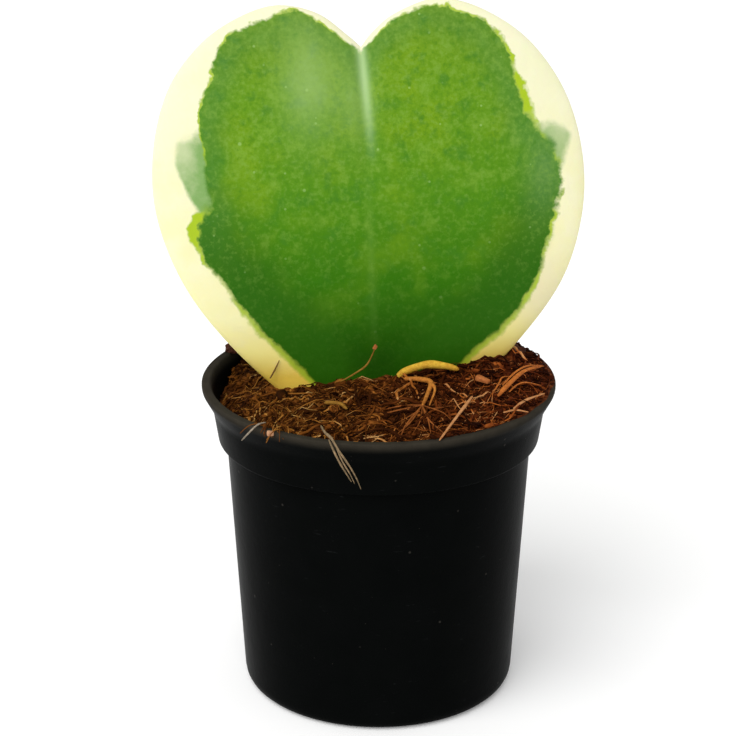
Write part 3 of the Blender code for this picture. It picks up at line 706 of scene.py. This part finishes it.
def waxy_leaf():
    """Green flesh that darkens towards the stalk and at its lower sides, partly as painted shade, cream
    where it has none, sage where the two lie over each other, and a lime fringe; small pale specks and a
    painted sheen on the upper left lobe. Across, along and the depth inside the green's edge are in
    millimetres, and front is 1 on the upper face."""
    material, place = new_material(
        "waxy_leaf", Subsurface_Weight=0.10, Subsurface_Scale=0.0015,
        Subsurface_Radius=(0.6, 1.0, 0.25), Specular_IOR_Level=0.05,
    )
    across, along = stored(place, "across"), stored(place, "along")
    depth, front = stored(place, "green_depth"), stored(place, "front")
    coarse, fine = place.noise(6.0 * MM, detail=4.0), place.noise(1.5 * MM, detail=5.0, roughness=0.65)
    ragged = (coarse - 0.5) * 3.4 + (fine - 0.5) * 1.2
    low = 1.0 - along.step(14.0, 46.0)
    edge = depth + ragged * (1.0 - low * 0.5)
    left_sage = (across + along * 0.42).bell(-6.8, 3.2) * along.bell(52.5, 8.0)
    right_sage = across.bell(32.3, 3.2) * along.bell(55.0, 4.5)
    right_sage = right_sage + across.bell(33.0, 4.0) * along.bell(33.0, 9.0) * 0.3
    sage = left_sage + right_sage
    left_lime = across.bell(-29.5, 2.6) * along.bell(42.5, 3.2)
    lime = across.bell(27.5, 3.4) * along.bell(62.0, 6.5) + left_lime
    edge = edge - left_sage * 3.6 - right_sage * 1.2 + left_lime
    softness = low * 1.1 + sage * 1.4 + lime * 2.0 + 0.75
    across_border = ((edge + low * 0.3) / softness + 0.45).step(0.0, 1.0)
    wander = (place.noise(9.0 * MM) - 0.5) * 2.4
    sage_edge = depth + ragged * 0.7 + left_sage * 5.8 + right_sage * 4.3 + wander
    sage_mask = sage_edge.step(0.2, 2.4) * (1.0 - low * 0.85)
    patchy = place.noise(4.0 * MM, detail=2.0)
    fringed = patchy.step(0.36, 0.60) * (1.0 - low) * 0.9 + low * 0.8 + lime * 1.1
    fringe = across_border * (1.0 - across_border) * 4.0 * fringed * (1.0 - sage).step(0.3, 0.8)

    height = along / RAMP_TOP
    # Darker towards the stalk: partly the leaf's own colour, partly painted shade at its foot.
    green = height.ramp(
        (0.19, (0.0055, 0.044, 0.0004)),
        (0.27, (0.0150, 0.088, 0.0008)),
        (0.40, (0.031, 0.154, 0.0014)),
        (0.58, (0.078, 0.232, 0.0070)),
        (0.80, (0.124, 0.276, 0.0110)),
        (0.95, (0.152, 0.278, 0.0100)),
    )
    lit = along.step(16.0, 60.0) * 0.94 + 0.06
    broad, middling = place.noise(9.0 * MM, detail=3.0), place.noise(3.0 * MM, detail=4.0, roughness=0.6)
    grain = place.noise(0.85 * MM, detail=3.0, roughness=0.6)
    rim_shade = edge.bell(2.2, 3.2) * 0.45 * along.step(20.0, 45.0)
    # Painted shade: the green's lower sides, near its edge, darkened.
    side_painted_shade = (1.0 - edge.step(4.5, 14.0)) * (1.0 - along.step(31.0, 55.0)) * 0.85
    haze = across.bell(29.5, 3.5) * along.bell(49.0, 6.5) * 0.35
    # Painted sheen: a lighter sage patch on the upper left lobe and near the midrib.
    painted_sheen = across.bell(-9.5, 4.5) * along.bell(66.0, 8.5)
    painted_sheen = (painted_sheen + across.bell(-1.5, 3.0) * along.bell(63.0, 7.0) * 0.6) * 0.6
    flecks = place.specks(1.7 * MM, 0.16, 0.16) + place.specks(3.8 * MM, 0.10, 0.3)
    rib = (across + along * 0.075).bell(4.75, 0.80) * along.step(50.0, 67.0) * front
    faint_rib = across.bell(-0.1, 0.7) * along.bell(38.0, 13.0) * front
    for mask, tint in (
        (broad.step(0.45, 0.70) * 0.70 * lit, (0.170, 0.310, 0.008)),
        (middling.step(0.50, 0.72) * 0.65 * lit, (0.045, 0.180, 0.018)),
        ((1.0 - middling).step(0.52, 0.72) * 0.55 * lit, (0.185, 0.345, 0.034)),
        (rim_shade, (0.060, 0.190, 0.040)),
        (side_painted_shade, (0.022, 0.112, 0.0030)),
        (haze, (0.17, 0.30, 0.10)),
        (grain.step(0.46, 0.72) * 0.50 * lit, (0.190, 0.345, 0.050)),
        ((1.0 - grain).step(0.48, 0.74) * 0.50 * lit, (0.050, 0.180, 0.008)),
        (painted_sheen * (broad * 0.7 + middling * 1.1), (0.27, 0.43, 0.140)),
        (flecks * 0.45 * lit, (0.34, 0.52, 0.17)),
        (rib * 0.92, (0.39, 0.57, 0.25)),
        (faint_rib * 0.16, (0.20, 0.36, 0.06)),
    ):
        green = mask.blend(green, tint)

    cream = height.ramp(
        (0.205, (0.80, 0.56, 0.080)),
        (0.26, (0.84, 0.74, 0.25)),
        (0.34, (0.83, 0.79, 0.41)),
        (0.80, (0.79, 0.78, 0.52)),
    )
    cream = (coarse.step(0.35, 0.75) * 0.6 * along.step(22.0, 36.0)).blend(cream, (0.83, 0.81, 0.60))
    blush = across.bell(29.0, 4.5) * along.bell(28.0, 7.0) + coarse.step(0.58, 0.72) * 0.3
    cream = (blush * 0.7).blend(cream, (0.75, 0.68, 0.44))
    shade = edge.step(-5.4, -0.8) * (0.75 + fine * 0.5)
    shaded_sage = shade.blend((0.47, 0.56, 0.30), (0.17, 0.34, 0.088))
    body = (sage_mask * (0.94 - right_sage * 0.30)).blend(cream, shaded_sage)
    body = across_border.blend(body, green)
    body = fringe.blend(body, (0.36, 0.50, 0.022))
    body = ((1.0 - front) * 0.28).blend(body, (0.36, 0.46, 0.19))
    body.reach(material, "Base Color")
    satin = 0.40 + (coarse - 0.5) * 0.15 + (1.0 - across_border) * 0.05 + flecks * 0.1
    satin.reach(material, "Roughness")
    pits = place.noise(0.55 * MM, detail=2.0)
    (fine * 0.6 + pits * 0.25 + coarse).raise_surface(material, 0.10 * MM)
    return material


def stalk_mesh():
    """A round green stalk from inside the blade down into the soil, narrowing evenly, with a small sine."""
    points = ((0.2, -0.3, 47.0), (0.2, -0.5, 41.0), (-0.2, -0.4, 36.0), (-0.8, 0.2, 31.0), (-1.2, 0.8, 27.0))
    path = smooth_path(np.array(points) * MM, STALK_ROWS)[None]
    uneven = 1.0 + 0.03 * np.sin(np.arange(STALK_ROWS) * 1.7)
    radius = STALK_RADIUS * np.linspace(1.0, 0.85, STALK_ROWS)[None] * uneven[None]
    rings, starts, ends = tube_rings(path, radius, radius, sides=32, reference=(0.0, 1.0, 0.0))
    along = (path[:, :, 2] - LEAF_FOOT[2]) / MM
    zero = 0.0 * along
    values = {"green_depth": zero + 5.0, "across": zero + 20.0, "along": along, "front": zero + 0.5}
    return ring_mesh("leaf_stalk", rings, starts, ends, values)


leaf_finish = waxy_leaf()
add_piece("leaf_blade", blade_mesh(), leaf_finish, "leaf", "leaf")
add_piece("leaf_stalk", stalk_mesh(), leaf_finish, "leaf", "leaf")

# The roots
# Five tan roots run out and down through the soil from the foot of the stalk; two more, ochre and
# orange, have come out on top of it: one arches up at the leaf's foot and one forks into rootlets.
BURIED_ROOTS = 5
STRAND_POINTS = 40
STRAND_SIDES = 14
UPRIGHT = (0.0, 0.0, 1.0)
SIDEWAYS = (1.0, 0.0, 0.0)
FORWARDS = (0.0, 1.0, 0.0)


def root_skin(name, pale, dark):
    """A dry root, straw or bark: a pale colour in broken streaks and along the middle, over a dark one,
    with a fine crackle."""
    material, place = new_material(name, Specular_IOR_Level=0.06)
    along = stored(place, "tone")
    streaks = place.noise(0.8 * MM, detail=5.0, roughness=0.7)
    middle = along.bell(0.45, 0.55)
    shade = streaks.step(0.35, 0.70) * 0.6 + middle * 0.4
    shade.blend(dark, pale).reach(material, "Base Color")
    (0.52 + streaks * 0.25).reach(material, "Roughness")
    (streaks + place.noise(0.25 * MM)).raise_surface(material, 0.12 * MM)
    return material


def on_soil(places):
    """Points over the soil, given as (x, y, height over it) in millimetres."""
    places = np.array(places) * MM
    level = soil_level(places[:, 0], places[:, 1])
    return np.column_stack([places[:, :2], level + places[:, 2]])


def strand_piece(name, points, radius, material, slot, node, taper=0.7, flat=1.0, reference=UPRIGHT):
    """A strand through the points, its radius in millimetres: it narrows evenly, with two slow sines
    in it, and its ends close by the fourth root of a half sine."""
    path = smooth_path(points, STRAND_POINTS)[None]
    along = np.linspace(0.0, 1.0, STRAND_POINTS)[None]
    uneven = 1.0 + 0.07 * np.sin(9.0 * along + len(name)) + 0.05 * np.sin(21.0 * along + 2.0)
    thick = radius * MM * (1.0 + (taper - 1.0) * along) * uneven
    thick *= np.clip(np.sin(math.pi * along), 0.0, 1.0) ** 0.25 * 0.75 + 0.25
    rings, starts, ends = tube_rings(path, thick, thick * flat, STRAND_SIDES, reference)
    add_piece(name, ring_mesh(name, rings, starts, ends, {"tone": along}), material, slot, node)


tan_root = root_skin("tan_root", (0.50, 0.33, 0.12), (0.24, 0.13, 0.045))
for number in range(1, BURIED_ROOTS + 1):
    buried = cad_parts[f"root_{number}"]
    buried.data.materials.clear()
    buried.data.materials.append(tan_root)

ochre_root = root_skin("ochre_root", (0.74, 0.47, 0.050), (0.42, 0.18, 0.016))
orange_root = root_skin("orange_root", (0.60, 0.230, 0.040), (0.22, 0.060, 0.009))
red_root = root_skin("red_root", (0.34, 0.105, 0.022), (0.11, 0.028, 0.006))
arch = ((3.2, -4.6, 56.9), (4.4, -4.6, 57.9), (8.0, -4.6, 59.1), (11.4, -4.6, 58.8), (13.4, -4.8, 58.3))
strand_piece(
    "ochre_root_arch", np.array(arch) * MM, 0.72, ochre_root, "root", "arching_root",
    taper=0.8, reference=FORWARDS,
)
forked_stem = ((4.2, -6.6, 1.0), (6.6, -7.4, 1.3), (8.6, -9.6, 1.4), (7.9, -13.7, 1.2), (7.0, -17.6, 1.0))
strand_piece("forked_root_stem", on_soil(forked_stem), 0.50, orange_root, "root", "forked_root")
FORK = np.array((7.05, -17.2, 1.05))
ROOTLET_TIPS = (
    (1.4, -27.6), (3.3, -27.9), (5.3, -26.6), (8.3, -27.4), (10.3, -26.2), (11.8, -22.4), (-0.8, -18.7),
    (0.8, -16.2), (2.4, -22.6), (11.9, -16.8),
)
for number, tip in enumerate(ROOTLET_TIPS, 1):
    bow = 0.9 * math.sin(2.3 * number)
    knee = (0.5 * (FORK[0] + tip[0]) + bow, 0.5 * (FORK[1] + tip[1]) + 0.4 * bow, 0.75)
    strand_piece(
        f"forked_rootlet_{number}", on_soil((FORK, knee, (*tip, 0.55))), 0.13 + 0.04 * (number % 3),
        red_root, "root", "forked_root", taper=0.35,
    )
second_fork = ((8.6, -9.8, 1.5), (9.2, -12.6, 1.3), (8.2, -16.6, 0.9))
strand_piece("forked_root_branch", on_soil(second_fork), 0.30, orange_root, "root", "forked_root", taper=0.5)

# Loose straw, strands and fibres
# Pale pieces that lie on the soil and over the lip: a splinter of straw, three strands that hang over
# the front, short fibres at both sides, a fibre with a knob and a dark hair against the leaf.
pale_straw = root_skin("pale_straw", (0.60, 0.29, 0.120), (0.34, 0.115, 0.030))
grey_straw = root_skin("grey_straw", (0.40, 0.33, 0.25), (0.13, 0.105, 0.075))
lip_straw = root_skin("lip_straw", (0.33, 0.22, 0.12), (0.060, 0.052, 0.028))
yellow_straw = root_skin("yellow_straw", (0.34, 0.17, 0.025), (0.15, 0.065, 0.010))
brown_hair = root_skin("brown_hair", (0.23, 0.13, 0.035), (0.08, 0.035, 0.010))
# Name, CAD node, skin, radius, taper, flatness, the way its flat side faces, and points.
LOOSE_STRANDS = (
    ("straw_sliver", "straw_splinter", pale_straw, 0.32, 0.6, 0.7, UPRIGHT,
     ((15.3, -14.8, 57.4), (12.4, -21.8, 56.4), (9.5, -28.8, 55.3))),
    ("long_lip_strand", "rim_strand_long", lip_straw, 0.34, 0.45, 0.7, SIDEWAYS,
     ((-9.4, -22.6, 55.3), (-8.6, -26.4, 55.6), (-7.6, -29.4, 55.9), (-6.4, -31.0, 54.4),
      (-4.9, -31.3, 52.2), (-3.7, -31.3, 50.0), (-2.9, -31.2, 47.9))),
    ("short_lip_strand", "rim_strand_short", lip_straw, 0.30, 0.5, 0.7, SIDEWAYS,
     ((-8.0, -29.4, 55.7), (-7.3, -30.9, 54.6), (-6.3, -31.3, 52.6), (-5.2, -31.3, 50.6),
      (-4.4, -31.3, 49.2))),
    ("split_lip_strand", "rim_strand_long", lip_straw, 0.18, 0.5, 0.8, SIDEWAYS,
     ((-6.9, -30.7, 55.0), (-5.9, -31.6, 53.0), (-4.6, -31.6, 50.6), (-3.9, -31.4, 48.9))),
    ("left_lip_fibre", "left_rim_fibre", grey_straw, 0.17, 0.7, 1.0, SIDEWAYS,
     ((-18.3, -21.4, 55.4), (-19.6, -23.0, 55.6), (-21.2, -23.6, 54.2), (-22.2, -22.8, 52.8))),
    ("bent_fibre", "curved_fibre", pale_straw, 0.29, 0.7, 0.7, UPRIGHT,
     ((21.9, -16.9, 56.0), (24.0, -14.6, 56.6), (27.4, -11.4, 56.6))),
    ("low_fibre", "flat_fibre", pale_straw, 0.25, 0.7, 0.7, UPRIGHT,
     ((20.2, -18.3, 55.9), (22.2, -17.5, 56.0), (24.4, -17.1, 55.5))),
    ("dark_hair", "leaf_hair", brown_hair, 0.18, 0.6, 1.0, SIDEWAYS,
     ((-18.3, -3.25, 56.1), (-17.6, -2.95, 57.3), (-16.7, -2.5, 59.1))),
    ("knob_stem", "knobbed_fibre", yellow_straw, 0.17, 0.8, 1.0, SIDEWAYS,
     ((-6.4, -5.6, 56.4), (-4.2, -5.2, 57.6), (-2.0, -4.9, 59.2), (-0.6, -4.6, 62.0))),
)
for name, node, skin, radius, taper, flat, reference, places in LOOSE_STRANDS:
    strand_piece(name, np.array(places) * MM, radius, skin, "pale_fibre", node, taper, flat, reference)
strand_piece(
    "yellow_thread", on_soil(((-9.0, -13.2, 0.9), (-6.5, -14.0, 1.0), (-5.2, -16.8, 0.9))),
    0.38, yellow_straw, "root", "yellow_strand",
)

# Bark and crumbs
# A strip of orange inner bark arches over the soil at the right, with three shreds torn from it. One
# near-black chip of bark lies behind the leaf and one on the lip at the back left. Both stand where the
# pot's inner wall lies in shade, and their darkness is partly painted shade. Two pale bits of husk lie
# at the leaf's sides. The knob sits on its fibre.
orange_bark = root_skin("orange_bark", (0.62, 0.190, 0.034), (0.20, 0.045, 0.008))
# Near-black bark: partly the chips' own colour, partly painted shade of the pot's inner wall.
dark_bark_painted_shade = root_skin("dark_bark_painted_shade", (0.120, 0.040, 0.024), (0.012, 0.0042, 0.0030))
tan_husk = root_skin("tan_husk", (0.50, 0.17, 0.050), (0.24, 0.060, 0.014))
pale_husk = root_skin("pale_husk", (0.58, 0.33, 0.19), (0.30, 0.12, 0.050))
# Name, radius, flatness and points.
BARK_SHREDS = (
    ("bark_ribbon", 0.46, 0.8,
     ((19.5, -14.3, 57.2), (20.9, -12.2, 58.0), (24.0, -7.4, 58.9), (27.4, -3.0, 58.3))),
    ("bark_shred_high", 0.24, 0.6,
     ((20.4, -10.4, 57.6), (22.8, -7.0, 58.7), (25.2, -4.0, 58.7), (27.9, -1.6, 57.7))),
    ("bark_shred_low", 0.20, 0.5,
     ((21.4, -12.4, 57.2), (22.8, -10.2, 57.6), (24.4, -9.0, 57.6), (27.0, -8.6, 56.9))),
    ("bark_shred_tip", 0.17, 0.5,
     ((18.6, -13.4, 57.2), (19.8, -10.6, 58.0), (20.6, -8.4, 58.3), (22.6, -7.2, 58.0))),
)
for name, radius, flat, places in BARK_SHREDS:
    strand_piece(name, np.array(places) * MM, radius, orange_bark, "orange_bark", "bark_strip", 0.75, flat)


def boxed(value):
    """Draw a cosine or a sine out towards 1 or -1, as on a box with worn corners."""
    return np.sign(value) * np.abs(value) ** 0.45


def rotated(points, first, second, degrees):
    """Turn the points in the plane of two of their axes, the first towards the second."""
    cosine, sine = math.cos(math.radians(degrees)), math.sin(math.radians(degrees))
    turned = points.copy()
    turned[..., first] = points[..., first] * cosine - points[..., second] * sine
    turned[..., second] = points[..., first] * sine + points[..., second] * cosine
    return turned


def chip_mesh(name, place, size, turn, seed):
    """A worn block: a ball whose cosines are drawn towards a box, narrower at one end, roughened and
    split along its length by noise, then turned about X, Y and Z in degrees."""
    polar = math.pi * np.arange(1, 40)[:, None] / 40
    around = math.tau * np.arange(64)[None] / 64
    x = -boxed(np.cos(polar)) + 0 * around
    y = boxed(np.sin(polar)) * boxed(np.cos(around))
    z = boxed(np.sin(polar)) * boxed(np.sin(around))
    block = np.stack([x, y * (1 - 0.14 * x), z * (1 - 0.14 * x)], axis=-1) * np.array(size) * MM / 2
    split = lattice_noise(block[..., 0] * 0.35, block[..., 1] + block[..., 2], 0.35 * MM, seed)
    worn = lattice_noise(block[..., 0], block[..., 1] - block[..., 2], 0.8 * MM, seed + 1)
    block = block * (1.0 + 0.07 * split + 0.10 * worn)[..., None]
    for first, second, degrees in zip((1, 2, 0), (2, 0, 1), turn):
        block = rotated(block, first, second, degrees)
    turned = block + np.array(place) * MM
    middle = turned.mean(axis=1)
    tone = np.broadcast_to(np.linspace(0.0, 1.0, len(turned))[None], (1, len(turned)))
    return ring_mesh(name, turned[None], middle[None, 0], middle[None, -1], {"tone": tone})


# Name, CAD node, skin, slot, place, size, and turn about X, Y and Z in degrees.
CHIPS = (
    ("right_bark", "bark_chip_right", dark_bark_painted_shade, "bark",
     (22.2, 7.4, 56.6), (5.8, 4.0, 3.4), (8, 12, -20)),
    ("left_bark", "bark_chip_left", dark_bark_painted_shade, "bark",
     (-25.0, 13.6, 55.6), (3.4, 2.2, 1.5), (4, 5, 62)),
    ("pale_husk_bit", "pale_chip", tan_husk, "pale_fibre",
     (17.3, -8.3, 57.8), (2.6, 1.2, 0.8), (0, 6, -38)),
    ("pale_husk_crumb", "pale_crumb", pale_husk, "pale_fibre",
     (-17.4, -25.3, 55.1), (1.1, 0.8, 0.7), (20, 10, 20)),
    ("fibre_knob", "knobbed_fibre", tan_husk, "pale_fibre",
     (-0.6, -4.6, 62.2), (0.65, 0.6, 0.85), (0, 30, 0)),
)
for seed, (name, node, skin, slot, place, size, turn) in enumerate(CHIPS, 31):
    add_piece(name, chip_mesh(name, place, size, turn, seed), skin, slot, node)

# The floor, the lights and the camera
# A plain white floor under an even white sky, with a broad sun from above and the left and a soft
# light at each side. The camera looks down a little on the plant's front through a long lens.
FLOOR_HALF = 4.0
SUN_POWER, SUN_SPREAD = 2.3, math.radians(55.0)
SUN_TURN = (math.radians(42.0), 0.0, math.radians(-30.0))
SKY_STRENGTH = 0.52
LIGHT_TARGET = (0.0, 0.0, 0.04)
# Name, place, width and height in metres, and power in watts.
SIDE_LIGHTS = (
    ("left_light", (-0.75, 0.35, 0.30), (0.5, 0.6), 1.2),
    ("right_light", (0.75, 0.35, 0.30), (0.4, 0.5), 0.5),
)
CAMERA_PLACE = (-0.0018, -0.3832, 0.2002)
CAMERA_TURN = (math.radians(69.48), 0.0, 0.0)
LENS_MM, SENSOR_MM = 118.1, 36.0


def placed(name, data, place=(0.0, 0.0, 0.0), turn=(0.0, 0.0, 0.0)):
    """A new object in the scene, with its place and turn."""
    made = bpy.data.objects.new(name, data)
    made.location = place
    made.rotation_euler = turn
    bpy.context.scene.collection.objects.link(made)
    return made


floor_mesh = bpy.data.meshes.new("floor")
floor_mesh.from_pydata(
    [(x * FLOOR_HALF, y * FLOOR_HALF, 0.0) for x, y in ((-1, -1), (1, -1), (1, 1), (-1, 1))],
    [], [(0, 1, 2, 3)],
)
floor_finish, _ = new_material(
    "floor_white", Base_Color=(0.91, 0.91, 0.905, 1.0), Roughness=0.9, Specular_IOR_Level=0.1,
    Emission_Color=(1.0, 1.0, 1.0, 1.0), Emission_Strength=0.15,
)
floor_mesh.materials.append(floor_finish)
placed("floor", floor_mesh)

sun = bpy.data.lights.new("key_light", "SUN")
sun.energy, sun.angle = SUN_POWER, SUN_SPREAD
placed("key_light", sun, turn=SUN_TURN)
for name, place, size, power in SIDE_LIGHTS:
    light = bpy.data.lights.new(name, "AREA")
    light.shape = "RECTANGLE"
    light.size, light.size_y = size
    light.energy = power
    aim = np.array(LIGHT_TARGET) - np.array(place)
    tilt = math.acos(-aim[2] / np.linalg.norm(aim))
    placed(name, light, place, (tilt, 0.0, math.atan2(aim[0], -aim[1]) + math.pi))

world = bpy.data.worlds.new("studio")
world.use_nodes = True
sky = world.node_tree.nodes["Background"].inputs
sky["Color"].default_value = (1.0, 1.0, 1.0, 1.0)
sky["Strength"].default_value = SKY_STRENGTH
bpy.context.scene.world = world
bpy.context.scene.view_settings.view_transform = "Standard"

camera = bpy.data.cameras.new("camera")
camera.lens, camera.sensor_width = LENS_MM, SENSOR_MM
camera.clip_start = 0.01
bpy.context.scene.camera = placed("camera", camera, CAMERA_PLACE, CAMERA_TURN)
